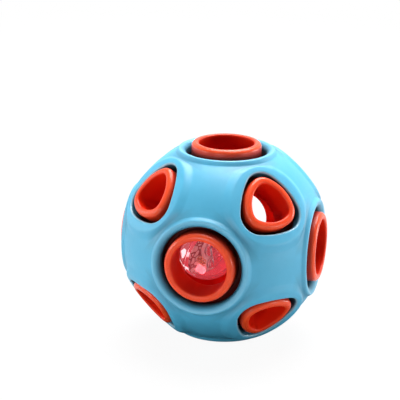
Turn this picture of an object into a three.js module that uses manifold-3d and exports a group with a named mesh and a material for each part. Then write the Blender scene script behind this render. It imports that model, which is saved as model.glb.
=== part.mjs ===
// A double-layer dog ball: a blue rubber shell with fourteen holes over an orange-red hollow core
// whose tubes stand out through the holes, and a clear flash ball that rolls loose inside the core.
// Millimetres, +Z up, origin at the middle of the core.

import * as THREE from "three";
import { mergeVertices } from "three/addons/utils/BufferGeometryUtils.js";
import Module from "manifold-3d";

// Outer shell. A drop is measured down from the shell's radius, along the hole's axis.
// A triangle's bulge is how far the middle of each side stands out of a straight line.
const shellRadius = 36.7;
const shellWall = 4.2;
const roundHole = 14.3;
const roundLandWidth = 2.4;
const roundLandDrop = 3.1;
const roundHoleEase = 1.4;
const triHoleReach = 5.8;
const triHoleCorner = 6.4;
const triHoleBulge = 0.6;
const triLandReach = 3.8;
const triLandCorner = 10.6;
const triLandBulge = 0.8;
const triLandDrop = 1.7;
const landEdge = 0.35;

// Inner core
const corePlay = 0.7;
const coreWall = 6.2;
const roundTube = 12.4;
const roundBore = 9.8;
const roundCrownDrop = 1.2;
const triTubeReach = 4.5;
const triTubeCorner = 5.7;
const triTubeBulge = 1.0;
const triBoreCorner = 3.1;
const triCrownDrop = 0.4;
const rimRounding = 0.9;
const boreChamfer = 0.5;

// Flash ball: two clear halves with a stepped seam, just large enough for the module
const ballWall = 1.4;
const seamStep = 0.85;
const spigotWall = 0.65;
const spigotReach = 0.6;
const restSide = new THREE.Vector3(-1, 1, -1).normalize();
const moduleSide = new THREE.Vector3(0.834, -0.451, -0.318).normalize();

// Flash module inside it
const boardThickness = 0.8;
const cellRadius = 3.4;
const cellHeight = 2.1;
const cellCap = 2.8;
const cellCapHeight = 0.35;
const trayWall = 0.7;
const trayWeb = 0.6;
const trayHeight = 1.2;
const clipThickness = 0.25;
const clipWidth = 2.6;
const clipOverlap = 1.5;
const clipLeg = 2.0;
const ledRadius = 1.4;
const ledFlange = 0.25;
const ledFlangeHeight = 0.5;
const ledBody = 1.4;
const ledAcross = 3.0;
const ledAlong = 6.6;
const pinRadius = 0.35;
const pinHeight = 3.9;
const switchAcross = 2.2;
const switchAlong = 6.1;
const springRadius = 1.15;
const springWire = 0.15;
const springPitch = 0.85;
const springCurls = 4;
const chipRadius = 2.6;
const chipHeight = 0.8;
const resistorLength = 2.0;
const resistorWidth = 1.2;
const resistorHeight = 0.5;
const resistorPlace = 5.0;

// Clearances: between pieces that rest on each other, and from the module to the ball's wall
const restGap = 0.3;
const moduleClearance = 0.35;

// Fineness of the round forms
const sphereDetail = 5;
const circleSteps = 14;
const triSteps = 2;
const latheSteps = 20;
const smallSteps = 12;
const arcSteps = 5;
const springSteps = 8;
const springSides = 5;

// Sizes that follow from those above
const shellBore = shellRadius - shellWall;
const holeFoot = shellBore / 2;
const roundLand = roundHole + roundLandWidth;
const roundLandHeight = shellRadius - roundLandDrop;
const triLandHeight = shellRadius - triLandDrop;
const roundCrown = shellRadius - roundCrownDrop;
const triCrown = shellRadius - triCrownDrop;
const shellDrop = corePlay - restGap;
const coreRadius = shellBore - corePlay;
const cavityRadius = coreRadius - coreWall;
const boardBack = spigotReach + restGap;
const boardFace = boardBack + boardThickness;
const moduleFloor = boardFace + restGap;
const pocketRadius = cellRadius + restGap;
const cellPlace = pocketRadius + trayWeb / 2;
const trayRadius = pocketRadius + trayWall;
const trayReach = Math.hypot(cellPlace + trayRadius, moduleFloor + trayHeight);
const ledShoulder = ledFlangeHeight + ledBody;
const ledReach = Math.hypot(ledAcross, ledAlong, moduleFloor + ledShoulder) + ledRadius;
const springSide = Math.hypot(switchAcross, switchAlong) + springRadius + springWire;
const springTop = moduleFloor + springCurls * springPitch + 2 * springWire;
const ballBore = Math.max(trayReach, ledReach, Math.hypot(springSide, springTop)) + moduleClearance;
const ballRadius = ballBore + ballWall;
const socketRadius = ballRadius - seamStep;
const spigotRadius = socketRadius - restGap;
const boardRadius = spigotRadius;
const coilSteps = Math.ceil(springCurls * springSteps);

const wasm = await Module();
wasm.setup();

// Solids for cutting and joining

function toSolid(geometry) {
  const bare = geometry.clone();
  bare.deleteAttribute("normal");
  bare.deleteAttribute("uv");
  const welded = mergeVertices(bare, 1e-4);
  const mesh = new wasm.Mesh({
    numProp: 3,
    vertProperties: new Float32Array(welded.attributes.position.array),
    triVerts: new Uint32Array(wholeTriangles(welded.index.array)),
  });
  return new wasm.Manifold(mesh);
}

// Leaves out the triangles that shrink to a line where a profile meets its axis.
function wholeTriangles(index) {
  const kept = [];
  for (let at = 0; at < index.length; at += 3) {
    const [a, b, c] = index.slice(at, at + 3);
    if (a !== b && b !== c && c !== a) {
      kept.push(a, b, c);
    }
  }
  return kept;
}

function toGeometry(solid) {
  const mesh = solid.getMesh();
  const geometry = new THREE.BufferGeometry();
  geometry.setAttribute("position", new THREE.BufferAttribute(new Float32Array(mesh.vertProperties), 3));
  geometry.setIndex(new THREE.BufferAttribute(new Uint32Array(mesh.triVerts), 1));
  geometry.computeVertexNormals();
  return geometry;
}

function joined(geometries) {
  return geometries.map(toSolid).reduce((whole, solid) => whole.add(solid));
}

function cutBy(solid, geometries) {
  return geometries.map(toSolid).reduce((rest, tool) => rest.subtract(tool), solid);
}

function sphere(radius) {
  return new THREE.IcosahedronGeometry(radius, sphereDetail);
}

function lathe(profile, steps) {
  const turned = new THREE.LatheGeometry(profile, steps).rotateX(Math.PI / 2);
  return toGeometry(toSolid(turned));
}

function cylinder(radius, low, high, steps) {
  const upright = new THREE.CylinderGeometry(radius, radius, high - low, steps).rotateX(Math.PI / 2);
  return upright.translate(0, 0, (low + high) / 2);
}

function block(sizeX, sizeY, sizeZ, x, y, low) {
  return new THREE.BoxGeometry(sizeX, sizeY, sizeZ).translate(x, y, low + sizeZ / 2);
}

function at(radius, height) {
  return new THREE.Vector2(radius, height);
}

function arc(radius, fromHeight, toHeight) {
  const from = Math.asin(fromHeight / radius);
  const turn = Math.asin(toHeight / radius) - from;
  const points = [];
  for (let step = 0; step <= arcSteps; step += 1) {
    const angle = from + (turn * step) / arcSteps;
    points.push(at(radius * Math.cos(angle), radius * Math.sin(angle)));
  }
  return points;
}

// Places of the holes: round ones on the six axes, triangles on the eight corners of a cube.
// A triangle's corners point at the round holes beside it.

function frameAlong(axis, towards) {
  const up = axis.clone().normalize();
  const first = towards.clone().addScaledVector(up, -towards.dot(up)).normalize();
  const second = new THREE.Vector3().crossVectors(up, first);
  return new THREE.Matrix4().makeBasis(first, second, up);
}

const roundFrames = [];
const triFrames = [];
for (const x of [-1, 1]) {
  roundFrames.push(frameAlong(new THREE.Vector3(x, 0, 0), new THREE.Vector3(0, 1, 0)));
  roundFrames.push(frameAlong(new THREE.Vector3(0, x, 0), new THREE.Vector3(0, 0, 1)));
  roundFrames.push(frameAlong(new THREE.Vector3(0, 0, x), new THREE.Vector3(1, 0, 0)));
  for (const y of [-1, 1]) {
    for (const z of [-1, 1]) {
      triFrames.push(frameAlong(new THREE.Vector3(x, y, z), new THREE.Vector3(0, 0, z)));
    }
  }
}

function circle(radius) {
  return new THREE.Shape().absarc(0, 0, radius, 0, 2 * Math.PI, false);
}

// Three corner arcs round the middle, joined by three wide arcs that bulge out between them
function triangle(reach, corner, bulge) {
  const third = (2 * Math.PI) / 3;
  const back = (reach ** 2 - (reach / 2 + bulge) ** 2) / (2 * bulge);
  const along = reach + back * Math.cos(third / 2);
  const across = back * Math.sin(third / 2);
  const turn = Math.atan2(across, along);
  const wide = corner + Math.hypot(along, across);
  const shape = new THREE.Shape();
  for (let side = 0; side < 3; side += 1) {
    const angle = side * third;
    const next = angle + third;
    const middle = angle + third / 2;
    shape.absarc(reach * Math.cos(angle), reach * Math.sin(angle), corner, angle - turn, angle + turn, false);
    shape.absarc(-back * Math.cos(middle), -back * Math.sin(middle), wide, angle + turn, next - turn, false);
  }
  return shape.closePath();
}

// A straight prism between two heights, with both ends rounded in
function prism(shape, steps, low, high, rounding = 0, roundSteps = 1) {
  const straight = new THREE.ExtrudeGeometry(shape, {
    depth: high - low - 2 * rounding,
    curveSegments: steps,
    bevelEnabled: rounding > 0,
    bevelThickness: rounding,
    bevelSize: rounding,
    bevelOffset: -rounding,
    bevelSegments: roundSteps,
  });
  return straight.translate(0, 0, low + rounding);
}

function roundPrisms(radius, low, high, rounding, roundSteps) {
  const one = prism(circle(radius), circleSteps, low, high, rounding, roundSteps);
  return roundFrames.map((frame) => one.clone().applyMatrix4(frame));
}

function triPrisms(shape, low, high, rounding, roundSteps) {
  const one = prism(shape, triSteps, low, high, rounding, roundSteps);
  return triFrames.map((frame) => one.clone().applyMatrix4(frame));
}

// Outer shell: each hole lies in a flat land that stands proud of the ball at its outer edge.
// The round holes widen to their land with a slope, which stands for a rolled lip.

function shellGeometry() {
  const outside = 2 * shellRadius;
  const triLand = triangle(triLandReach, triLandCorner, triLandBulge);
  const triHole = triangle(triHoleReach, triHoleCorner, triHoleBulge);
  const lands = joined([
    ...roundPrisms(roundLand, holeFoot, roundLandHeight, landEdge),
    ...triPrisms(triLand, holeFoot, triLandHeight, landEdge),
  ]);
  const overLands = [
    ...roundPrisms(roundLand, roundLandHeight, outside),
    ...triPrisms(triLand, triLandHeight, outside),
  ];
  const lipFoot = roundLandHeight - roundHoleEase;
  const holes = [
    ...roundPrisms(roundHole, holeFoot, outside),
    ...roundPrisms(roundHole + roundHoleEase, lipFoot, outside, roundHoleEase),
    ...triPrisms(triHole, holeFoot, outside),
  ];
  const body = cutBy(toSolid(sphere(shellRadius)), overLands).add(lands);
  return toGeometry(cutBy(body, [sphere(shellBore), ...holes]));
}

// Inner core: a thick hollow ball with a tube for each hole of the shell

function coreGeometry() {
  const triTube = triangle(triTubeReach, triTubeCorner, triTubeBulge);
  const triBore = triangle(triTubeReach, triBoreCorner, triTubeBulge);
  const triMouth = triangle(triTubeReach, triBoreCorner + boreChamfer, triTubeBulge);
  const tubes = joined([
    ...roundPrisms(roundTube, cavityRadius, roundCrown, rimRounding, 2),
    ...triPrisms(triTube, cavityRadius, triCrown, rimRounding, 2),
  ]);
  const mouthDepth = 4 * boreChamfer;
  const roundLow = roundCrown - boreChamfer;
  const triLow = triCrown - boreChamfer;
  const bores = [
    ...roundPrisms(roundBore, cavityRadius / 2, roundCrown + boreChamfer),
    ...triPrisms(triBore, cavityRadius / 2, triCrown + boreChamfer),
    ...roundPrisms(roundBore + boreChamfer, roundLow, roundLow + mouthDepth, boreChamfer),
    ...triPrisms(triMouth, triLow, triLow + mouthDepth, boreChamfer),
  ];
  const body = toSolid(sphere(coreRadius)).add(tubes);
  return toGeometry(cutBy(body, [sphere(cavityRadius), ...bores]));
}

// Flash ball. Heights are measured from its seam towards the side that holds the module.

function cupGeometry() {
  return lathe([
    at(socketRadius, 0),
    ...arc(ballRadius, 0, ballRadius),
    ...arc(ballBore, ballBore, moduleFloor),
    at(socketRadius, moduleFloor),
    at(socketRadius, 0),
  ], latheSteps);
}

function lidGeometry() {
  const inner = spigotRadius - spigotWall;
  const innerFoot = -Math.sqrt(ballBore ** 2 - inner ** 2);
  return lathe([
    ...arc(ballRadius, -ballRadius, -restGap),
    at(spigotRadius, -restGap),
    at(spigotRadius, spigotReach),
    at(inner, spigotReach),
    ...arc(ballBore, innerFoot, -ballBore),
  ], latheSteps);
}

function boardGeometry() {
  return cylinder(boardRadius, boardBack, boardFace, latheSteps);
}

// Frame with a pocket for each cell
function trayGeometry() {
  const top = moduleFloor + trayHeight;
  const shape = new THREE.Shape();
  shape.absarc(cellPlace, 0, trayRadius, -Math.PI / 2, Math.PI / 2, false);
  shape.absarc(-cellPlace, 0, trayRadius, Math.PI / 2, (3 * Math.PI) / 2, false);
  const frame = toSolid(prism(shape.closePath(), smallSteps / 2, moduleFloor, top));
  const pocket = cylinder(pocketRadius, moduleFloor - 1, top + 1, latheSteps);
  const pockets = [pocket.clone().translate(cellPlace, 0, 0), pocket.clone().translate(-cellPlace, 0, 0)];
  return toGeometry(cutBy(frame, pockets));
}

function cellGeometry() {
  const shoulder = cellHeight - cellCapHeight;
  return lathe([
    at(0, 0),
    at(cellRadius, 0),
    at(cellRadius, shoulder),
    at(cellCap, shoulder),
    at(cellCap, cellHeight),
    at(0, cellHeight),
  ], smallSteps);
}

// Strap over both cells, with one leg down to the board
function clipGeometry() {
  const under = moduleFloor + cellHeight + restGap;
  const legPlace = trayRadius + restGap + clipThickness / 2;
  const armLength = legPlace + clipThickness / 2;
  const legLength = under + clipThickness - moduleFloor;
  return toGeometry(joined([
    block(2 * (cellPlace + clipOverlap), clipWidth, clipThickness, 0, 0, under),
    block(clipLeg, armLength, clipThickness, 0, armLength / 2, under),
    block(clipLeg, clipThickness, legLength, 0, legPlace, moduleFloor),
  ]));
}

function ledGeometry() {
  const dome = arc(ledRadius, 0, ledRadius).map((point) => at(point.x, point.y + ledShoulder));
  return lathe([
    at(0, 0),
    at(ledRadius + ledFlange, 0),
    at(ledRadius + ledFlange, ledFlangeHeight),
    at(ledRadius, ledFlangeHeight),
    ...dome,
  ], smallSteps);
}

function chipGeometry() {
  const low = boardBack - restGap;
  return lathe([
    at(0, low - chipHeight),
    at(chipRadius * 0.6, low - chipHeight * 0.85),
    at(chipRadius * 0.9, low - chipHeight * 0.4),
    at(chipRadius, low),
    at(0, low),
  ], smallSteps);
}

// Coil of the shake switch, standing on the board round its pin
class Coil extends THREE.Curve {
  getPoint(share) {
    const angle = share * springCurls * 2 * Math.PI;
    const height = springWire + share * springCurls * springPitch;
    return new THREE.Vector3(springRadius * Math.cos(angle), springRadius * Math.sin(angle), height);
  }
}

function springGeometry() {
  const coil = new Coil();
  const wire = new THREE.Shape();
  for (let side = 0; side < springSides; side += 1) {
    const angle = (side * 2 * Math.PI) / springSides;
    const x = springWire * Math.cos(angle);
    const y = springWire * Math.sin(angle);
    if (side === 0) {
      wire.moveTo(x, y);
    } else {
      wire.lineTo(x, y);
    }
  }
  const points = coil.getPoints(coilSteps);
  console.log("least gap of the switch spring to itself, mm:", leastGap(points).toFixed(2));
  return new THREE.ExtrudeGeometry(wire, { steps: coilSteps, extrudePath: coil });
}

// Smallest space between two stretches of the wire that lie over half a curl apart
function leastGap(points) {
  let least = Infinity;
  for (let one = 0; one < points.length; one += 1) {
    for (let other = one + springSteps / 2; other < points.length; other += 1) {
      least = Math.min(least, points[one].distanceTo(points[other]) - 2 * springWire);
    }
  }
  return least;
}

// Pieces

function piece(name, geometry, colour, roughness, metalness = 0) {
  const material = new THREE.MeshStandardMaterial({ color: colour, roughness, metalness });
  const mesh = new THREE.Mesh(geometry, material);
  mesh.name = name;
  return mesh;
}

function placed(mesh, x, y, z) {
  mesh.position.set(x, y, z);
  return mesh;
}

function led(name, colour, x, y) {
  return placed(piece(name, ledGeometry(), colour, 0.2), x, y, moduleFloor);
}

const ball = new THREE.Group();
ball.name = "anemone_dog_ball";
ball.add(placed(piece("outer_shell", shellGeometry(), 0x5fb4d6, 0.5), 0, 0, -shellDrop));
ball.add(piece("inner_core", coreGeometry(), 0xe8431f, 0.45));

// The flash ball lies in the inner mouth of a triangular tube, on the middles of its three sides.
const mouthSide = triTubeReach / 2 + triTubeBulge + triBoreCorner;
const mouthHeight = Math.sqrt(cavityRadius ** 2 - mouthSide ** 2);
const restHeight = mouthHeight - Math.sqrt((ballRadius + restGap) ** 2 - mouthSide ** 2);

const flashBall = new THREE.Group();
flashBall.name = "flash_ball";
flashBall.position.copy(restSide).multiplyScalar(restHeight);
flashBall.quaternion.setFromUnitVectors(new THREE.Vector3(0, 0, 1), moduleSide);
flashBall.add(piece("case_cup", cupGeometry(), 0xf4f6f7, 0.08));
flashBall.add(piece("case_lid", lidGeometry(), 0xf4f6f7, 0.08));
flashBall.add(piece("circuit_board", boardGeometry(), 0xe9ece6, 0.45));
flashBall.add(piece("cell_tray", trayGeometry(), 0xf2efe8, 0.5));

const plusCell = piece("button_cell_plus", cellGeometry(), 0xc9ccd0, 0.25, 1);
flashBall.add(placed(plusCell, cellPlace, 0, moduleFloor));
const minusCell = piece("button_cell_minus", cellGeometry(), 0xc9ccd0, 0.25, 1);
minusCell.rotation.x = Math.PI;
flashBall.add(placed(minusCell, -cellPlace, 0, moduleFloor + cellHeight));

flashBall.add(piece("cell_clip", clipGeometry(), 0xd8d4c8, 0.3, 1));
flashBall.add(led("led_red", 0xf0b0a8, ledAcross, ledAlong));
flashBall.add(led("led_green", 0xc8e8c8, ledAcross, -ledAlong));
flashBall.add(led("led_blue", 0xb8c8f0, -ledAcross, ledAlong));

const pin = piece("switch_pin", cylinder(pinRadius, 0, pinHeight, smallSteps), 0xcfc9a8, 0.3, 1);
flashBall.add(placed(pin, -switchAcross, -switchAlong, moduleFloor));
const spring = piece("switch_spring", springGeometry(), 0xd6b45a, 0.3, 1);
flashBall.add(placed(spring, -switchAcross, -switchAlong, moduleFloor));

flashBall.add(piece("chip_cover", chipGeometry(), 0x1c1c1e, 0.4));
const resistorLow = boardBack - restGap - resistorHeight;
const resistorBlock = block(resistorLength, resistorWidth, resistorHeight, resistorPlace, 0, resistorLow);
flashBall.add(piece("resistor", resistorBlock, 0x2b2b30, 0.5));

ball.add(flashBall);

export default ball;
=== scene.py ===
"""Looks of the double-layer dog ball: smooth rubber shell and core, and the clear flash ball inside."""

import math

import bmesh
import bpy
import numpy as np
from mathutils import Matrix, Vector


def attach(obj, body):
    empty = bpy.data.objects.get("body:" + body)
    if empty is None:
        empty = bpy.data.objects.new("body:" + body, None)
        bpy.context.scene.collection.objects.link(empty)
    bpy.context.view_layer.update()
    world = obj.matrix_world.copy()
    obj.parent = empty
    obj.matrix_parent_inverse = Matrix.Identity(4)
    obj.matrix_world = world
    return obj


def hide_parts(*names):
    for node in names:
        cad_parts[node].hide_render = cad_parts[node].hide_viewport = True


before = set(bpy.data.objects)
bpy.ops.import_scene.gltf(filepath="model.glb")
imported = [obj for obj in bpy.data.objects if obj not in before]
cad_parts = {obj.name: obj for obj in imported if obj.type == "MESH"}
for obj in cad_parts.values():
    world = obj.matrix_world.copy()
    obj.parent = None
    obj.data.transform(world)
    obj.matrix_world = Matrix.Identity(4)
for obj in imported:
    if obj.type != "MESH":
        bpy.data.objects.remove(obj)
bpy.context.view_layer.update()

MM = 0.001

# Outer shell, in millimetres as in the CAD source. An outline is (reach of the corners' middles,
# radius of the corners, bulge of the sides); a reach of 0 makes a circle.
SHELL_RADIUS = 36.7
SHELL_BORE = 32.5
SHELL_DROP = 0.4
ROUND_HOLE = (0.0, 14.3, 0.0)
ROUND_LAND = (0.0, 16.7, 0.0)
ROUND_LAND_HEIGHT = 33.6
TRI_HOLE = (5.8, 6.4, 0.6)
TRI_LAND = (3.8, 10.6, 0.8)
TRI_LAND_MIDDLE = 36.2
TRI_LAND_CURVE = 75.0
ROUND_FLANK = 1.3
TRI_FLANK = 3.0
ROUND_HOLE_ROUNDING = 2.2
TRI_HOLE_ROUNDING = 0.8
HOLE_INNER_ROUNDING = 0.5

# Tone of the shell: painted highlight with wear on crests and edges, painted shade in the holes, and painted
# shade where two lands come close
ROUND_CREST_HIGHLIGHT = 0.2
TRI_HOLE_HIGHLIGHT = 0.7
HOLE_SHADE = 0.75
HOLE_SHADE_CURVE = 0.9
CREASE_SHADE = 0.55
CREASE_ROOM = 4.5

# Roughness of the edges that wear has polished
POLISH = 0.2

# Inner core
CORE_RADIUS = 31.8
CAVITY_RADIUS = 25.6
ROUND_TUBE = (0.0, 12.4, 0.0)
ROUND_BORE = (0.0, 9.8, 0.0)
ROUND_CROWN = 35.5
TRI_TUBE = (4.5, 5.7, 1.0)
TRI_BORE = (4.5, 3.1, 1.0)
TRI_CROWN = 36.3
RIM_ROUNDING = 1.5
BORE_ROUNDING = 0.7
FOOT_FILLET = 0.7
MOUTH_ROUNDING = 0.6

# Tone of the core: painted highlight with wear on the rims, painted shade that darkens the tubes down the
# gap and covers the core under the shell, and painted shade that deepens the bores inwards
RIM_HIGHLIGHT = 0.5
TUBE_FOOT_SHADE = 0.85
TUBE_TOP_SHADE = 0.2
TUBE_SHADE_CURVE = 1.2
BORE_TOP_PAINTED_SHADE = 0.6
BORE_FOOT_PAINTED_SHADE = 0.95
MOUTH_PAINTED_SHADE = 0.9

# How the ball's surface is shared between round and triangular holes, and the meshes' fineness
ROUND_WEIGHT = 1.045
LONG_EDGE_STEPS = 28
SHORT_EDGE_STEPS = 7
BALL_STEPS = 6
FLANK_STEPS = 10
LAND_STEPS = 5
WALL_STEPS = 3
TUBE_STEPS = 4
BORE_STEPS = 8
EDGE_STEPS = 7
BORE_EDGE_STEPS = 6
FILLET_STEPS = 4

# Flash ball: heights are measured from its seam towards the module
BALL_CENTRE = Vector((-8.6459, 8.6459, -8.6459))
MODULE_SIDE = Vector((0.834, -0.451, -0.318)).normalized()
BALL_RADIUS = 11.4
BALL_BORE = 10.0
SOCKET_RADIUS = 10.55
SPIGOT_RADIUS = 10.25
SPIGOT_WALL = 0.65
SPIGOT_REACH = 0.6
SEAM = 0.08
MODULE_FLOOR = 2.0
BOARD_RADIUS = 10.25
BOARD_BACK = 0.9
BOARD_FACE = 1.7
CELL_RADIUS = 3.4
CELL_HEIGHT = 2.1
CELL_CAP = 2.8
CELL_CAP_HEIGHT = 0.35
CELL_GROOVE = 0.12
CELL_GROOVE_DEPTH = 0.15
CELL_LIP = 0.1
CELL_EASE = 0.16
CELL_PLACE = 4.0
LED_RADIUS = 1.4
LED_FLANGE = 0.25
LED_FLANGE_HEIGHT = 0.5
LED_SHOULDER = 1.9
LED_EASE = 0.08
LED_PLACE = (3.0, 6.6)
SWITCH_PLACE = (-2.2, -6.1)
PIN_RADIUS = 0.35
PIN_HEIGHT = 3.9
SPRING_RADIUS = 1.15
SPRING_WIRE = 0.15
SPRING_PITCH = 0.85
SPRING_CURLS = 4
CHIP_RADIUS = 2.6
CHIP_HEIGHT = 0.8
CHIP_FACE = 0.6
CHIP_FULLNESS = 0.8
SMALL_EASE = 0.1

# Light of the flash: the lit lamp, a painted glow of the flash in the other lamps and a painted glow in the
# case
FLASH_COLOUR = (1.0, 0.15, 0.20, 1)
FLASH_LIGHT = 6.0
PAINTED_STRAY_GLOW = 0.8
CASE_PAINTED_GLOW = 0.085

# Sides of the turned pieces, and of the coil's wire
CASE_SIDES = 96
PART_SIDES = 48
LAMP_SIDES = 40
PIN_SIDES = 24
WIRE_SIDES = 10
WIRE_STEPS = 32
ARC_STEPS = 32
DOME_STEPS = 14
CHIP_STEPS = 10

# Photo's camera: angles, distance in units of the ball's size, and where the ball lies in the picture
CAMERA_AZIMUTH = math.radians(14.1)
CAMERA_ELEVATION = math.radians(19.2)
CAMERA_ROLL = math.radians(1.4)
VIEW_UNIT = 37.5 * MM
CAMERA_DISTANCE = 14.9 * VIEW_UNIT
SENSOR_WIDTH = 36.0
BALL_SCALE = 103.95
IMAGE_SIDE = 400
IMAGE_CENTRE = (224.4, 236.5)

# Space between the floor and the rim that the ball rests on, in millimetres
FLOOR_GAP = 0.02

# Floor: a painted shadow under the ball for bounced light and mirrors, a dimmer tone for bounced light, and
# quite white far out; lengths in metres
FLOOR_RADIUS = 4.0
FLOOR_SIDES = 96
FLOOR_PAINTED_SHADOW = (0.05, 0.05, 0.05, 1)
FLOOR_PALE = (0.92, 0.92, 0.92, 1)
FLOOR_BOUNCE = 0.6
SHADE_INNER = 0.048
SHADE_OUTER = 0.068
NEAR_WHITE = 0.94
WHITE_FROM = 0.6

# Strength of the room's even light
AMBIENT = 0.02


# Holes and their cells

class Hole:
    """One hole of the ball: its axis, and the outlines round it."""

    def __init__(self, axis, towards, is_round):
        self.axis = unit(axis)
        side = np.array(towards, float)
        self.x = unit(side - self.axis * (side @ self.axis))
        self.y = np.cross(self.axis, self.x)
        self.is_round = is_round

    def angle(self, directions):
        return np.arctan2(directions @ self.y, directions @ self.x)

    def points(self, theta, radius, height):
        across = np.cos(theta)[:, None] * self.x + np.sin(theta)[:, None] * self.y
        return radius[:, None] * across + height[:, None] * self.axis


def unit(vector):
    vector = np.array(vector, float)
    return vector / np.linalg.norm(vector)


def outline(theta, shape, offset=0.0):
    """Distance from the axis to a circle or a bulged triangle, at each angle."""
    reach, corner, bulge = shape[0], shape[1] + offset, shape[2]
    if reach == 0:
        return np.full_like(theta, corner)
    third = 2 * math.pi / 3
    phi = np.abs((theta + third / 2) % third - third / 2)
    back = (reach**2 - (reach / 2 + bulge) ** 2) / (2 * bulge)
    along, across = reach + back * math.cos(third / 2), back * math.sin(third / 2)
    wide = corner + math.hypot(along, across)
    turn = math.atan2(across, along)
    tangent = math.atan2(corner * math.sin(turn), reach + corner * math.cos(turn))
    on_corner = reach * np.cos(phi) + np.sqrt(np.maximum(corner**2 - (reach * np.sin(phi)) ** 2, 0))
    towards = -back * np.cos(third / 2 - phi)
    on_side = towards + np.sqrt(towards**2 + wide**2 - back**2)
    return np.where(phi <= tangent, on_corner, on_side)


def all_holes():
    holes = []
    for x in (-1, 1):
        holes.append(Hole((x, 0, 0), (0, 1, 0), True))
        holes.append(Hole((0, x, 0), (0, 0, 1), True))
        holes.append(Hole((0, 0, x), (1, 0, 0), True))
        for y in (-1, 1):
            for z in (-1, 1):
                holes.append(Hole((x, y, z), (0, 0, z), False))
    return holes


def cell_corner(axis, side):
    """Where a round hole's cell meets those of two triangles."""
    tilt = math.atan(ROUND_WEIGHT * math.sqrt(3) - 1)
    return math.cos(tilt) * axis + math.sin(tilt) * side


def great_arc(start, end, steps):
    turn = math.acos(np.clip(start @ end, -1, 1))
    share = np.arange(steps)[:, None] / steps
    return (np.sin((1 - share) * turn) * start + np.sin(share * turn) * end) / math.sin(turn)


def cell_edge(hole):
    """Directions of the points round the cell of a hole, in turning order."""
    if hole.is_round:
        sides = [hole.x, hole.y, -hole.x, -hole.y]
        corners = [cell_corner(hole.axis, side) for side in sides]
        arcs = [great_arc(a, b, LONG_EDGE_STEPS) for a, b in zip(corners, corners[1:] + corners[:1])]
    else:
        x, y, z = (np.sign(hole.axis[i]) * np.eye(3)[i] for i in range(3))
        pairs = [(x, z), (x, y), (y, x), (y, z), (z, y), (z, x)]
        corners = [cell_corner(axis, side) for axis, side in pairs]
        steps = [LONG_EDGE_STEPS, SHORT_EDGE_STEPS] * 3
        arcs = [great_arc(a, b, n) for a, b, n in zip(corners, corners[1:] + corners[:1], steps)]
    directions = np.concatenate(arcs)
    return directions[np.argsort(hole.angle(directions))]


# Profiles of shell and core

def smooth(share):
    return share * share * (3 - 2 * share)


def sphere_height(radius, distance):
    return np.sqrt(radius**2 - distance**2)


def quarter(steps):
    """Angles from 0 to a quarter turn."""
    return [math.pi / 2 * step / steps for step in range(steps + 1)]


def parts(steps):
    """Shares of a stretch from its first step to its end."""
    return [step / steps for step in range(1, steps + 1)]


class Profile:
    """Section of one cell, from its edge outside to its edge inside: distances from the axis, heights
    along it, and for each spot its share of wear with painted highlight, of painted shade in holes, creases
    and the gap, and of painted shade that deepens inside the core."""

    def __init__(self):
        self.spots = []

    def add(self, distance, height, wear_and_highlight=0.0, gap=0.0, inside=0.0):
        self.spots.append((distance, height, wear_and_highlight, gap, inside))

    def over_sphere(self, radius, start, end, **finish):
        """Spots over a ball between two distances from the axis, the last one left out."""
        first, last = np.arcsin(start / radius), np.arcsin(end / radius)
        for step in range(BALL_STEPS):
            tilt = first + (last - first) * step / BALL_STEPS
            self.add(radius * np.sin(tilt), radius * np.cos(tilt), **finish)


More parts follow.
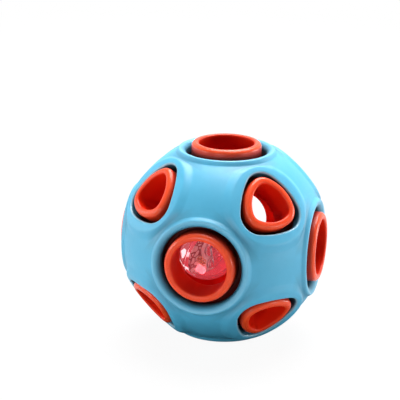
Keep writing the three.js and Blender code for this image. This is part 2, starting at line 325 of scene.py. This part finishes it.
def shell_profile(hole, theta, brim):
    """Over the ball, up the flank to the land, round the hole's edge and down its wall.
    A land is flat round a round hole, and bows a little round a triangle."""
    if hole.is_round:
        land, bore, middle, curve = ROUND_LAND, ROUND_HOLE, ROUND_LAND_HEIGHT, math.inf
        flank, rounding, crest_highlight, hole_highlight = ROUND_FLANK, ROUND_HOLE_ROUNDING, ROUND_CREST_HIGHLIGHT, 0.0
    else:
        land, bore, middle, curve = TRI_LAND, TRI_HOLE, TRI_LAND_MIDDLE, TRI_LAND_CURVE
        flank, rounding, crest_highlight, hole_highlight = TRI_FLANK, TRI_HOLE_ROUNDING, 0.0, TRI_HOLE_HIGHLIGHT
    outer = outline(theta, land)
    inner = outline(theta, bore, rounding)
    wall = outline(theta, bore)
    edge = SHELL_RADIUS * brim
    foot = np.minimum(outer + flank, edge)
    # Painted shade on the ball where two lands come close, standing in for the shade in the narrow crease
    painted_crease_shade = CREASE_SHADE * np.clip(1 - (edge - outer) / CREASE_ROOM, 0, 1)
    profile = Profile()
    profile.over_sphere(SHELL_RADIUS, edge, foot, gap=painted_crease_shade)
    for step in range(FLANK_STEPS, 0, -1):
        share = step / FLANK_STEPS
        distance = outer + (foot - outer) * share
        level = middle - distance**2 / (2 * curve)
        height = level + (sphere_height(SHELL_RADIUS, distance) - level) * smooth(share)
        profile.add(distance, height, wear_and_highlight=crest_highlight * (1 - share) ** 2, gap=painted_crease_shade * smooth(share))
    for step in range(LAND_STEPS):
        distance = outer + (inner - outer) * step / LAND_STEPS
        profile.add(distance, middle - distance**2 / (2 * curve), wear_and_highlight=crest_highlight)
    rim = middle - inner**2 / (2 * curve)
    # The hole's edge: painted highlight on the crest and the triangles' edges, and painted shade that
    # deepens into the hole
    for turn in quarter(EDGE_STEPS):
        distance = outline(theta, bore, rounding * (1 - math.sin(turn)))
        sunk = 1 - math.cos(turn)
        wear_and_highlight = crest_highlight * (1 - math.sin(turn)) ** 2 + hole_highlight * math.sin(2 * turn)
        profile.add(distance, rim - rounding * sunk, wear_and_highlight=wear_and_highlight, gap=HOLE_SHADE * sunk**HOLE_SHADE_CURVE)
    top, ledge = rim - rounding, sphere_height(SHELL_BORE, wall) + HOLE_INNER_ROUNDING
    # The hole's wall and the shell's inside are painted dark as shade
    for share in parts(WALL_STEPS):
        profile.add(wall, top + (ledge - top) * share, gap=HOLE_SHADE + (1 - HOLE_SHADE) * share)
    for turn in quarter(WALL_STEPS)[1:]:
        distance = outline(theta, bore, HOLE_INNER_ROUNDING * (1 - math.cos(turn)))
        level = ledge - HOLE_INNER_ROUNDING * math.sin(turn)
        profile.add(distance, np.maximum(level, sphere_height(SHELL_BORE, distance)), gap=1.0)
    close_inside(profile, SHELL_BORE, brim, gap=1.0)
    return profile.spots


def core_profile(hole, theta, brim):
    """Over the core, up the tube, over its rounded rim and down the bore into the hollow."""
    tube, bore = (ROUND_TUBE, ROUND_BORE) if hole.is_round else (TRI_TUBE, TRI_BORE)
    crown = np.full_like(theta, ROUND_CROWN if hole.is_round else TRI_CROWN)
    foot = outline(theta, tube, FOOT_FILLET)
    profile = Profile()
    # The core's ball and the tubes' feet are painted fully dark as the shade under the shell
    profile.over_sphere(CORE_RADIUS, CORE_RADIUS * brim, foot, gap=1.0)
    base = sphere_height(CORE_RADIUS, foot)
    for turn in quarter(FILLET_STEPS):
        distance = outline(theta, tube, FOOT_FILLET * (1 - math.sin(turn)))
        profile.add(distance, base + FOOT_FILLET * (1 - math.cos(turn)), gap=1.0)
    wall, low, high = outline(theta, tube), base + FOOT_FILLET, crown - RIM_ROUNDING
    # Painted shade on the tube, darkest at its foot and fading towards the rim
    for share in parts(TUBE_STEPS):
        shade = TUBE_FOOT_SHADE + (TUBE_TOP_SHADE - TUBE_FOOT_SHADE) * share**TUBE_SHADE_CURVE
        profile.add(wall, low + (high - low) * share, gap=shade)
    # Painted highlight with wear over the rim's rounding and top
    for turn in quarter(EDGE_STEPS)[1:]:
        distance = outline(theta, tube, -RIM_ROUNDING * (1 - math.cos(turn)))
        exposed = math.sin(turn)
        wear_and_highlight = RIM_HIGHLIGHT * (exposed + math.sin(2 * turn))
        profile.add(distance, high + RIM_ROUNDING * exposed, wear_and_highlight=wear_and_highlight, gap=TUBE_TOP_SHADE * (1 - exposed))
    # Into the bore: the painted highlight fades and painted shade begins
    for turn in quarter(BORE_EDGE_STEPS):
        distance = outline(theta, bore, BORE_ROUNDING * (1 - math.sin(turn)))
        sunk = 1 - math.cos(turn)
        level = crown - BORE_ROUNDING * sunk
        profile.add(distance, level, wear_and_highlight=RIM_HIGHLIGHT * (1 - sunk), inside=BORE_TOP_PAINTED_SHADE * sunk)
    wall = outline(theta, bore)
    top, ledge = crown - BORE_ROUNDING, sphere_height(CAVITY_RADIUS, wall) + MOUTH_ROUNDING
    # Painted shade deepens down the bore into the hollow
    for share in parts(BORE_STEPS):
        deep_shade = BORE_TOP_PAINTED_SHADE + (BORE_FOOT_PAINTED_SHADE - BORE_TOP_PAINTED_SHADE) * math.sqrt(share)
        profile.add(wall, top + (ledge - top) * share, inside=deep_shade)
    for turn in quarter(FILLET_STEPS)[1:]:
        distance = outline(theta, bore, MOUTH_ROUNDING * (1 - math.cos(turn)))
        level = ledge - MOUTH_ROUNDING * math.sin(turn)
        profile.add(distance, np.maximum(level, sphere_height(CAVITY_RADIUS, distance)), inside=MOUTH_PAINTED_SHADE)
    close_inside(profile, CAVITY_RADIUS, brim, inside=1.0)
    return profile.spots


def close_inside(profile, radius, brim, **finish):
    """Takes the profile from its last spot over the inner ball to the cell's edge."""
    start = profile.spots.pop()[0]
    profile.over_sphere(radius, start, radius * brim, **finish)
    profile.add(radius * brim, sphere_height(radius, radius * brim), **finish)


def cell_mesh(name, profile_of, drop):
    """Ball-shaped skin made of one ring of lines for each hole, welded along the cells' edges."""
    points, quads, finish = [], [], {"wear_and_highlight": [], "gap": [], "inside": []}
    for hole in all_holes():
        directions = cell_edge(hole)
        theta = hole.angle(directions)
        brim = np.sqrt(1 - (directions @ hole.axis) ** 2)
        spots = profile_of(hole, theta, brim)
        first, lines = sum(len(row) for row in points), len(theta)
        for distance, height, *shares in spots:
            points.append(hole.points(theta, distance, height))
            for values, share in zip(finish.values(), shares):
                values.extend(np.broadcast_to(share, lines))
        for row in range(len(spots) - 1):
            for line in range(lines):
                after = (line + 1) % lines
                a, b = first + row * lines, first + (row + 1) * lines
                quads.append((a + line, a + after, b + after, b + line))
    made = new_mesh(name, np.concatenate(points) - np.array([0, 0, drop]), quads)
    for label, values in finish.items():
        attribute = made.data.attributes.new(label, "FLOAT", "POINT")
        attribute.data.foreach_set("value", np.array(values, np.float32))
    weld(made, 1e-3 * MM)
    return made


# Meshes

def new_mesh(name, points, faces):
    data = bpy.data.meshes.new(name)
    data.from_pydata([tuple(p) for p in np.asarray(points) * MM], [], [list(f) for f in faces])
    made = bpy.data.objects.new(name, data)
    bpy.context.scene.collection.objects.link(made)
    return made


def weld(made, distance):
    mesh = bmesh.new()
    mesh.from_mesh(made.data)
    bmesh.ops.remove_doubles(mesh, verts=mesh.verts, dist=distance)
    bmesh.ops.dissolve_degenerate(mesh, dist=distance, edges=mesh.edges)
    bmesh.ops.recalc_face_normals(mesh, faces=mesh.faces)
    mesh.to_mesh(made.data)
    mesh.free()
    made.data.shade_smooth()


def lathe(name, profile, steps):
    """Turned form round the Z axis; the profile closes on itself or ends on the axis."""
    turns = np.arange(steps) * 2 * math.pi / steps
    points = [(r * math.cos(t), r * math.sin(t), z) for r, z in profile for t in turns]
    faces = []
    for row in range(len(profile) - 1):
        for step in range(steps):
            after = (step + 1) % steps
            a, b = row * steps, (row + 1) * steps
            faces.append((a + step, a + after, b + after, b + step))
    made = new_mesh(name, points, faces)
    weld(made, 1e-4 * MM)
    return made


def arc_points(radius, from_height, to_height, steps=ARC_STEPS):
    start, end = math.asin(from_height / radius), math.asin(to_height / radius)
    turns = [start + (end - start) * step / steps for step in range(steps + 1)]
    return [(radius * math.cos(t), radius * math.sin(t)) for t in turns]


def rounded(profile, radius, steps=3):
    """Profile with each corner between its ends eased by a small arc."""
    eased = [profile[0]]
    for before, corner, after in zip(profile, profile[1:], profile[2:]):
        a, c, b = np.array(before), np.array(corner), np.array(after)
        reach = min(radius, np.linalg.norm(a - c) / 2.2, np.linalg.norm(b - c) / 2.2)
        start, end = c + unit(a - c) * reach, c + unit(b - c) * reach
        for step in range(steps + 1):
            s = step / steps
            eased.append(tuple((1 - s) ** 2 * start + 2 * s * (1 - s) * c + s * s * end))
    return eased + [profile[-1]]


def in_ball(made, place=(0, 0, 0), turned=False):
    """Puts a piece drawn at the seam's middle into the flash ball."""
    spin = Vector((0, 0, 1)).rotation_difference(MODULE_SIDE).to_matrix().to_4x4()
    local = Matrix.Translation(Vector(place) * MM)
    if turned:
        local = local @ Matrix.Rotation(math.pi, 4, "X")
    made.data.transform(Matrix.Translation(BALL_CENTRE * MM) @ spin @ local)
    return made


def bevelled(name, node, width):
    """Copy of a CAD node with its sharp edges eased."""
    made = bpy.data.objects.new(name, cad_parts[node].data.copy())
    bpy.context.scene.collection.objects.link(made)
    weld(made, 1e-3 * MM)
    ease = made.modifiers.new("edges", "BEVEL")
    ease.width, ease.segments, ease.limit_method = width * MM, 3, "ANGLE"
    ease.angle_limit, ease.harden_normals = math.radians(30), True
    return made


def coil(name):
    """Wire of the shake switch, wound as one tube with closed ends."""
    steps, sides = WIRE_STEPS * SPRING_CURLS, WIRE_SIDES
    points, faces = [], []
    slope = math.atan2(SPRING_PITCH, 2 * math.pi * SPRING_RADIUS)
    for step in range(steps + 1):
        turn = 2 * math.pi * SPRING_CURLS * step / steps
        out = np.array([math.cos(turn), math.sin(turn), 0])
        ahead = np.array([-math.sin(turn), math.cos(turn), 0])
        up = math.cos(slope) * np.array([0, 0, 1]) - math.sin(slope) * ahead
        height = SPRING_WIRE + SPRING_PITCH * turn / (2 * math.pi)
        middle = SPRING_RADIUS * out + np.array([0, 0, height])
        for side in range(sides):
            t = 2 * math.pi * side / sides
            points.append(middle + SPRING_WIRE * (math.cos(t) * out + math.sin(t) * up))
    for step in range(steps):
        for side in range(sides):
            after = (side + 1) % sides
            a, b = step * sides, (step + 1) * sides
            faces.append((a + side, a + after, b + after, b + side))
    faces += [tuple(range(sides)), tuple(range(steps * sides, (steps + 1) * sides))]
    made = new_mesh(name, points, faces)
    weld(made, 1e-5 * MM)
    return made


# Materials

class Shader:
    """Small helper round one material's node tree."""

    def __init__(self, name):
        self.material = bpy.data.materials.new(name)
        self.material.use_nodes = True
        self.tree = self.material.node_tree
        self.bsdf = self.tree.nodes["Principled BSDF"]

    def set(self, **sockets):
        for name, value in sockets.items():
            self.bsdf.inputs[name.replace("_", " ")].default_value = value
        return self

    def add(self, kind, **settings):
        node = self.tree.nodes.new(kind)
        for name, value in settings.items():
            setattr(node, name, value)
        return node

    def link(self, source, target):
        self.tree.links.new(source, target)

    def noise(self, scale, detail=3.0, roughness=0.55):
        place = self.add("ShaderNodeTexCoord")
        node = self.add("ShaderNodeTexNoise")
        node.inputs["Scale"].default_value = scale
        node.inputs["Detail"].default_value = detail
        node.inputs["Roughness"].default_value = roughness
        self.link(place.outputs["Object"], node.inputs["Vector"])
        return node.outputs["Fac"]

    def spread(self, source, low, high, start=0.3, end=0.7):
        """The source's values from start to end, stretched over low to high."""
        node = self.add("ShaderNodeMapRange")
        for name, value in zip(("From Min", "From Max", "To Min", "To Max"), (start, end, low, high)):
            node.inputs[name].default_value = value
        self.link(source, node.inputs["Value"])
        return node.outputs["Result"]

    def colours(self, source, first, second):
        """Mix of two colours by a number between 0 and 1."""
        node = self.add("ShaderNodeMix", data_type="RGBA")
        self.link(source, node.inputs["Factor"])
        for socket, colour in ((node.inputs["A"], first), (node.inputs["B"], second)):
            if isinstance(colour, bpy.types.NodeSocket):
                self.link(colour, socket)
            else:
                socket.default_value = (*colour, 1)
        return node.outputs["Result"]

    def bump(self, source, strength, distance):
        node = self.add("ShaderNodeBump")
        node.inputs["Strength"].default_value = strength
        node.inputs["Distance"].default_value = distance * MM
        self.link(source, node.inputs["Height"])
        self.link(node.outputs["Normal"], self.bsdf.inputs["Normal"])

    def share(self, name):
        """A mesh attribute from 0 to 1."""
        return self.add("ShaderNodeAttribute", attribute_name=name).outputs["Fac"]

    def feed(self, socket, source):
        self.link(source, self.bsdf.inputs[socket])


def rubber(name, gloss, rough, dark, base, worn_highlight, painted_deep_shade, shade, glow):
    """Satin moulded rubber: faint mottling, a fine spark-eroded texture, polished edges, wear with a painted
    highlight on edges and rims, painted shade that deepens inside the core with its gloss dimmed there, and
    painted shade in the holes, the creases and the gap between shell and core."""
    shader = Shader(name)
    shader.set(Subsurface_Weight=0.1, Subsurface_Scale=1.2 * MM, IOR=1.5)
    shader.bsdf.inputs["Subsurface Radius"].default_value = glow
    colour = shader.colours(shader.spread(shader.noise(scale=260.0), 0.0, 1.0), dark, base)
    # Wear with a painted highlight lightens edges and rims
    colour = shader.colours(shader.spread(shader.share("wear_and_highlight"), 0.0, 0.6, start=0.0, end=1.0), colour, worn_highlight)
    # Painted shade deepens inside the core
    colour = shader.colours(shader.share("inside"), colour, painted_deep_shade)
    # Painted shade darkens the holes, the creases and the gap
    colour = shader.colours(shader.share("gap"), colour, shade)
    shader.feed("Base Color", colour)
    # Gloss is dimmed inside the core along with the painted shade
    shader.feed("Specular IOR Level", shader.spread(shader.share("inside"), gloss, 0.02, start=0.0, end=0.7))
    polished = shader.spread(shader.share("wear_and_highlight"), rough, POLISH, start=0.0, end=1.0)
    uneven = shader.spread(shader.noise(scale=1500.0), rough - 0.05, rough + 0.05)
    shader.link(uneven, polished.node.inputs["To Min"])
    shader.feed("Roughness", polished)
    shader.bump(shader.noise(scale=5200.0, detail=2.0), strength=0.25, distance=0.02)
    return shader.material


def clear_plastic(name):
    """Clear polished case with a faint painted glow of the flash's colour, standing in for the lit lamp's
    light in it.
    """
    shader = Shader(name)
    shader.set(Transmission_Weight=1.0, IOR=1.08, Base_Color=(1.0, 0.88, 0.90, 1))
    # Painted glow of the flash's colour over the whole case
    shader.set(Emission_Color=FLASH_COLOUR, Emission_Strength=CASE_PAINTED_GLOW)
    smears = shader.noise(scale=900.0, detail=4.0)
    shader.feed("Roughness", shader.spread(smears, 0.0, 0.05, start=0.45, end=0.75))
    shader.bump(shader.noise(scale=300.0, detail=2.0), strength=0.15, distance=0.1)
    return shader.material


def lens(name, tint, light):
    """Milky tinted lamp lens, lit as by the flash when the ball is shaken; the unlit lenses get a faint
    painted glow of the flash's colour.
    """
    shader = Shader(name)
    shader.set(Transmission_Weight=0.3, IOR=1.5)
    shader.set(Emission_Color=FLASH_COLOUR, Emission_Strength=light)
    shader.feed("Base Color", shader.colours(shader.noise(scale=700.0), tint, (0.97, 0.95, 0.93)))
    shader.feed("Roughness", shader.spread(shader.noise(scale=1200.0), 0.04, 0.14))
    return shader.material


def moulded(name, dark, base, roughness):
    """Moulded plastic or cast resin with faint mottling and a fine grain."""
    shader = Shader(name)
    shader.feed("Base Color", shader.colours(shader.spread(shader.noise(scale=600.0), 0.0, 1.0), dark, base))
    shader.feed("Roughness", shader.spread(shader.noise(scale=1800.0), roughness - 0.08, roughness + 0.08))
    shader.bump(shader.noise(scale=4200.0, detail=2.0), strength=0.2, distance=0.02)
    return shader.material


def laminate(name):
    """White solder mask with a web of dark tracks."""
    shader = Shader(name)
    place = shader.add("ShaderNodeTexCoord")
    web = shader.add("ShaderNodeTexVoronoi", feature="DISTANCE_TO_EDGE")
    web.inputs["Scale"].default_value = 420.0
    shader.link(place.outputs["Object"], web.inputs["Vector"])
    mask = shader.colours(shader.noise(scale=600.0), (0.72, 0.75, 0.70), (0.84, 0.87, 0.82))
    tracks = shader.spread(web.outputs["Distance"], 1.0, 0.0, start=0.065, end=0.11)
    shader.feed("Base Color", shader.colours(tracks, mask, (0.18, 0.035, 0.025)))
    shader.feed("Roughness", shader.spread(shader.noise(scale=1800.0), 0.32, 0.48))
    return shader.material


def metal(name, dark, base, roughness):
    """Plated metal with a finely uneven polish."""
    shader = Shader(name)
    shader.set(Metallic=1.0)
    polish = shader.noise(scale=3000.0, detail=5.0)
    shader.feed("Base Color", shader.colours(shader.spread(shader.noise(scale=800.0), 0.0, 1.0), dark, base))
    shader.feed("Roughness", shader.spread(polish, roughness - 0.08, roughness + 0.1))
    shader.bump(shader.noise(scale=6000.0, detail=2.0), strength=0.15, distance=0.01)
    return shader.material


# Pieces

def dress(made, material, body, node):
    made.data.materials.clear()
    made.data.materials.append(material)
    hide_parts(node)
    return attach(made, body)


def build_rubber():
    blue = rubber(
        "blue_rubber", gloss=0.55, rough=0.46,
        dark=(0.074, 0.42, 0.645), base=(0.08, 0.44, 0.67), worn_highlight=(0.60, 0.86, 0.95),
        painted_deep_shade=(0.05, 0.20, 0.30), shade=(0.014, 0.045, 0.075), glow=(0.3, 0.8, 1.0),
    )
    orange = rubber(
        "orange_rubber", gloss=0.28, rough=0.38,
        dark=(0.76, 0.036, 0.006), base=(0.86, 0.046, 0.009), worn_highlight=(1.0, 0.12, 0.03),
        painted_deep_shade=(0.66, 0.008, 0.002), shade=(0.075, 0.006, 0.005), glow=(1.0, 0.25, 0.1),
    )
    shell = cell_mesh("shell_rubber", shell_profile, SHELL_DROP)
    core = cell_mesh("core_rubber", core_profile, 0.0)
    dress(shell, blue, "shell", "outer_shell")
    dress(core, orange, "core", "inner_core")


def cup_profile():
    outside = arc_points(BALL_RADIUS, 0.0, BALL_RADIUS)
    inside = arc_points(BALL_BORE, BALL_BORE, MODULE_FLOOR)
    step = [(SOCKET_RADIUS, MODULE_FLOOR), (SOCKET_RADIUS, 0.0)]
    return [step[1]] + outside + inside + step


def lid_profile():
    inner = SPIGOT_RADIUS - SPIGOT_WALL
    outside = arc_points(BALL_RADIUS, -BALL_RADIUS, -SEAM)
    step = [(SPIGOT_RADIUS, -SEAM), (SPIGOT_RADIUS, SPIGOT_REACH), (inner, SPIGOT_REACH)]
    inside = arc_points(BALL_BORE, -sphere_height(BALL_BORE, inner), -BALL_BORE)
    return outside + step + inside


def cell_profile():
    shoulder = CELL_HEIGHT - CELL_CAP_HEIGHT
    groove, lip, low = CELL_CAP + CELL_GROOVE, shoulder + CELL_LIP, shoulder - CELL_GROOVE_DEPTH
    can = [(0.0, 0.0), (CELL_RADIUS, 0.0), (CELL_RADIUS, lip), (groove, lip), (groove, low)]
    cap = [(CELL_CAP, low), (CELL_CAP, CELL_HEIGHT), (0.0, CELL_HEIGHT)]
    return rounded(can + cap, CELL_EASE)


def led_profile():
    dome = [(r, z + LED_SHOULDER) for r, z in arc_points(LED_RADIUS, 0.0, LED_RADIUS, DOME_STEPS)]
    rim = LED_RADIUS + LED_FLANGE
    foot = [(0.0, 0.0), (rim, 0.0), (rim, LED_FLANGE_HEIGHT), (LED_RADIUS, LED_FLANGE_HEIGHT)]
    return rounded(foot + [dome[0]], LED_EASE)[:-1] + dome


def chip_profile():
    drop = []
    for turn in quarter(CHIP_STEPS):
        wide = CHIP_RADIUS * math.sin(turn) ** CHIP_FULLNESS
        drop.append((wide, CHIP_FACE - CHIP_HEIGHT * math.cos(turn)))
    return drop + [(0.0, CHIP_FACE)]


def build_case():
    clear = clear_plastic("clear_plastic")
    for half, profile in (("cup", cup_profile()), ("lid", lid_profile())):
        made = in_ball(lathe(half + "_clear", profile, CASE_SIDES))
        dress(made, clear, "flash_ball", "case_" + half)


def build_board():
    """Board with the chip's blob and the resistor on its back."""
    disc = [(0.0, BOARD_BACK), (BOARD_RADIUS, BOARD_BACK), (BOARD_RADIUS, BOARD_FACE), (0.0, BOARD_FACE)]
    board = in_ball(lathe("board_disc", rounded(disc, SMALL_EASE), CASE_SIDES))
    dress(board, laminate("board_laminate"), "flash_ball", "circuit_board")
    epoxy = moulded("black_epoxy", dark=(0.010, 0.010, 0.011), base=(0.022, 0.022, 0.024), roughness=0.32)
    chip = in_ball(lathe("chip_drop", chip_profile(), PART_SIDES))
    dress(chip, epoxy, "flash_ball", "chip_cover")
    resistor = bevelled("resistor_block", "resistor", width=0.1)
    dress(resistor, epoxy, "flash_ball", "resistor")


def build_cells():
    """The two button cells, one of them upside down, with their tray and strap."""
    white = moulded("white_plastic", dark=(0.78, 0.76, 0.72), base=(0.9, 0.88, 0.84), roughness=0.42)
    steel = metal("steel", dark=(0.62, 0.62, 0.63), base=(0.82, 0.82, 0.83), roughness=0.16)
    dress(bevelled("tray_frame", "cell_tray", width=0.12), white, "flash_ball", "cell_tray")
    dress(bevelled("clip_strap", "cell_clip", width=0.06), steel, "flash_ball", "cell_clip")
    for sign, x, turned in (("plus", CELL_PLACE, False), ("minus", -CELL_PLACE, True)):
        place = (x, 0, MODULE_FLOOR + (CELL_HEIGHT if turned else 0))
        cell = in_ball(lathe("cell_can_" + sign, cell_profile(), PART_SIDES), place, turned)
        dress(cell, steel, "flash_ball", "button_cell_" + sign)


def build_lamps():
    across, along = LED_PLACE
    # The red lamp is lit; the green and blue lenses carry a painted glow of the flash's colour
    lamps = (
        ("red", across, along, (0.90, 0.52, 0.48), FLASH_LIGHT),
        ("green", across, -along, (0.76, 0.88, 0.76), PAINTED_STRAY_GLOW),
        ("blue", -across, along, (0.70, 0.76, 0.92), PAINTED_STRAY_GLOW),
    )
    for colour, x, y, tint, light in lamps:
        lamp = in_ball(lathe("lamp_lens_" + colour, led_profile(), LAMP_SIDES), (x, y, MODULE_FLOOR))
        slot = "lamp_" + colour
        dress(lamp, lens(slot, tint, light), "flash_ball", "led_" + colour)


def build_switch():
    """Shake switch: a coil that sways round a fixed pin."""
    gilt = metal("gilt_brass", dark=(0.62, 0.46, 0.18), base=(0.85, 0.68, 0.34), roughness=0.22)
    place = (*SWITCH_PLACE, MODULE_FLOOR)
    post = [(0.0, 0.0), (PIN_RADIUS, 0.0), (PIN_RADIUS, PIN_HEIGHT), (0.0, PIN_HEIGHT)]
    pin = in_ball(lathe("pin_post", rounded(post, SMALL_EASE), PIN_SIDES), place)
    dress(pin, gilt, "flash_ball", "switch_pin")
    spring = in_ball(coil("spring_coil"), place)
    dress(spring, gilt, "switch_coil", "switch_spring")


# Studio

def add_camera():
    """Camera at the photo's angle, aimed so that the ball's middle falls where the photo has it."""
    sin_a, cos_a = math.sin(CAMERA_AZIMUTH), math.cos(CAMERA_AZIMUTH)
    sin_e, cos_e = math.sin(CAMERA_ELEVATION), math.cos(CAMERA_ELEVATION)
    back = Vector((sin_a * cos_e, -cos_a * cos_e, sin_e))
    level = Vector((cos_a, sin_a, 0))
    upright = back.cross(level)
    right = math.cos(CAMERA_ROLL) * level + math.sin(CAMERA_ROLL) * upright
    up = back.cross(right)
    pixels = BALL_SCALE / VIEW_UNIT * CAMERA_DISTANCE
    place = back * CAMERA_DISTANCE
    shift_right = (IMAGE_SIDE / 2 - IMAGE_CENTRE[0]) / pixels
    shift_up = (IMAGE_CENTRE[1] - IMAGE_SIDE / 2) / pixels
    view = (-back + right * shift_right + up * shift_up).normalized()
    side = view.cross(up).normalized()
    turn = Matrix((side, side.cross(view), -view)).transposed()
    data = bpy.data.cameras.new("camera")
    data.sensor_width = SENSOR_WIDTH
    data.lens = data.sensor_width * pixels / IMAGE_SIDE
    data.clip_start, data.clip_end = 0.01, 20.0
    camera = bpy.data.objects.new("camera", data)
    camera.matrix_world = Matrix.Translation(place) @ turn.to_4x4()
    bpy.context.scene.collection.objects.link(camera)
    bpy.context.scene.camera = camera


def add_lamp(name, place, size, power):
    data = bpy.data.lights.new(name, "AREA")
    data.shape, data.size, data.energy = "DISK", size, power
    lamp = bpy.data.objects.new(name, data)
    lamp.location = place
    lamp.rotation_euler = (-Vector(place)).to_track_quat("-Z", "Y").to_euler()
    bpy.context.scene.collection.objects.link(lamp)


def light_path(tree, kind):
    return tree.nodes.new("ShaderNodeLightPath").outputs[kind]


def math_node(tree, operation, first, second):
    """Number worked out from one socket and another socket or a plain value."""
    node = tree.nodes.new("ShaderNodeMath")
    node.operation = operation
    tree.links.new(first, node.inputs[0])
    if isinstance(second, bpy.types.NodeSocket):
        tree.links.new(second, node.inputs[1])
    else:
        node.inputs[1].default_value = second
    return node.outputs[0]


def seen_directly(tree):
    """1 for rays that show the background itself: camera, mirror and glass rays."""
    mirror_or_glass = math_node(
        tree, "MAXIMUM", light_path(tree, "Is Glossy Ray"), light_path(tree, "Is Transmission Ray"))
    return math_node(tree, "MAXIMUM", light_path(tree, "Is Camera Ray"), mirror_or_glass)


def add_world(ambient):
    world = bpy.data.worlds.new("studio")
    bpy.context.scene.world = world
    world.use_nodes = True
    tree = world.node_tree
    background = tree.nodes["Background"]
    background.inputs["Color"].default_value = (1, 1, 1, 1)
    level = tree.nodes.new("ShaderNodeMix")
    level.inputs["A"].default_value = ambient
    level.inputs["B"].default_value = 1.0
    tree.links.new(seen_directly(tree), level.inputs["Factor"])
    tree.links.new(level.outputs["Result"], background.inputs["Strength"])


def away_from_ball(tree, inner, outer, low, high):
    """Number that goes from low to high over the floor, between two distances from the ball's middle."""
    place = tree.nodes.new("ShaderNodeTexCoord")
    away = tree.nodes.new("ShaderNodeVectorMath")
    away.operation = "LENGTH"
    tree.links.new(place.outputs["Object"], away.inputs[0])
    ramp = tree.nodes.new("ShaderNodeMapRange")
    for name, value in zip(("From Min", "From Max", "To Min", "To Max"), (inner, outer, low, high)):
        ramp.inputs[name].default_value = value
    tree.links.new(away.outputs["Value"], ramp.inputs["Value"])
    return ramp.outputs["Result"]


def add_floor(low):
    radius = FLOOR_RADIUS / MM
    turns = np.arange(FLOOR_SIDES) * 2 * math.pi / FLOOR_SIDES
    rim = [(radius * math.cos(t), radius * math.sin(t), low) for t in turns]
    floor = new_mesh("floor", rim, [tuple(range(FLOOR_SIDES))])
    floor.data.materials.append(floor_material("floor"))


def floor_material(name):
    """Paper that shows as a white background and keeps the ball's shadow; for bounced light and mirrors it
    is dimmer and carries a painted shadow under the ball.
    """
    material = bpy.data.materials.new(name)
    material.use_nodes = True
    tree = material.node_tree
    tree.nodes.clear()
    out = tree.nodes.new("ShaderNodeOutputMaterial")
    paper = tree.nodes.new("ShaderNodeBsdfDiffuse")
    glow = tree.nodes.new("ShaderNodeEmission")
    both = tree.nodes.new("ShaderNodeMixShader")
    # Painted shadow: 0 under the ball, rising to 1 beyond it
    clear = away_from_ball(tree, SHADE_INNER, SHADE_OUTER, 0.0, 1.0)
    white = away_from_ball(tree, SHADE_OUTER, WHITE_FROM, NEAR_WHITE, 1.0)
    tone = tree.nodes.new("ShaderNodeMix")
    tone.data_type = "RGBA"
    tone.inputs["A"].default_value = FLOOR_PAINTED_SHADOW
    tone.inputs["B"].default_value = FLOOR_PALE
    through_glass = light_path(tree, "Is Transmission Ray")
    straight = math_node(tree, "MAXIMUM", light_path(tree, "Is Camera Ray"), through_glass)
    # Mirror rays see the painted shadow under the ball; bounced light sees a dimmer floor with the same
    # painted shadow
    mirrored = math_node(tree, "MULTIPLY", light_path(tree, "Is Glossy Ray"), clear)
    bounced = math_node(tree, "MULTIPLY", clear, FLOOR_BOUNCE)
    tree.links.new(math_node(tree, "MAXIMUM", straight, bounced), tone.inputs["Factor"])
    tree.links.new(tone.outputs["Result"], paper.inputs["Color"])
    share = math_node(tree, "MULTIPLY", math_node(tree, "MAXIMUM", straight, mirrored), white)
    tree.links.new(share, both.inputs["Fac"])
    tree.links.new(paper.outputs["BSDF"], both.inputs[1])
    tree.links.new(glow.outputs["Emission"], both.inputs[2])
    tree.links.new(both.outputs["Shader"], out.inputs["Surface"])
    return material


def build_studio():
    bpy.context.scene.view_settings.view_transform = "Standard"
    add_camera()
    add_world(AMBIENT)
    add_floor(-ROUND_CROWN - FLOOR_GAP)
    add_lamp("overhead_back", place=(0.0, 0.42, 0.90), size=0.9, power=21.5)
    add_lamp("overhead", place=(0.0, -0.05, 1.0), size=0.9, power=0.8)
    add_lamp("left_front", place=(-0.96, -0.55, 0.14), size=0.5, power=4.9)
    add_lamp("left", place=(-1.1, 0.1, 0.16), size=0.5, power=2.0)
    add_lamp("right_low", place=(1.05, -0.25, 0.04), size=0.14, power=2.2)
    add_lamp("right_back", place=(0.95, 0.55, 0.15), size=0.5, power=6.2)
    add_lamp("front_low", place=(-0.2, -1.08, 0.04), size=0.15, power=2.4)


build_rubber()
build_case()
build_board()
build_cells()
build_lamps()
build_switch()
build_studio()
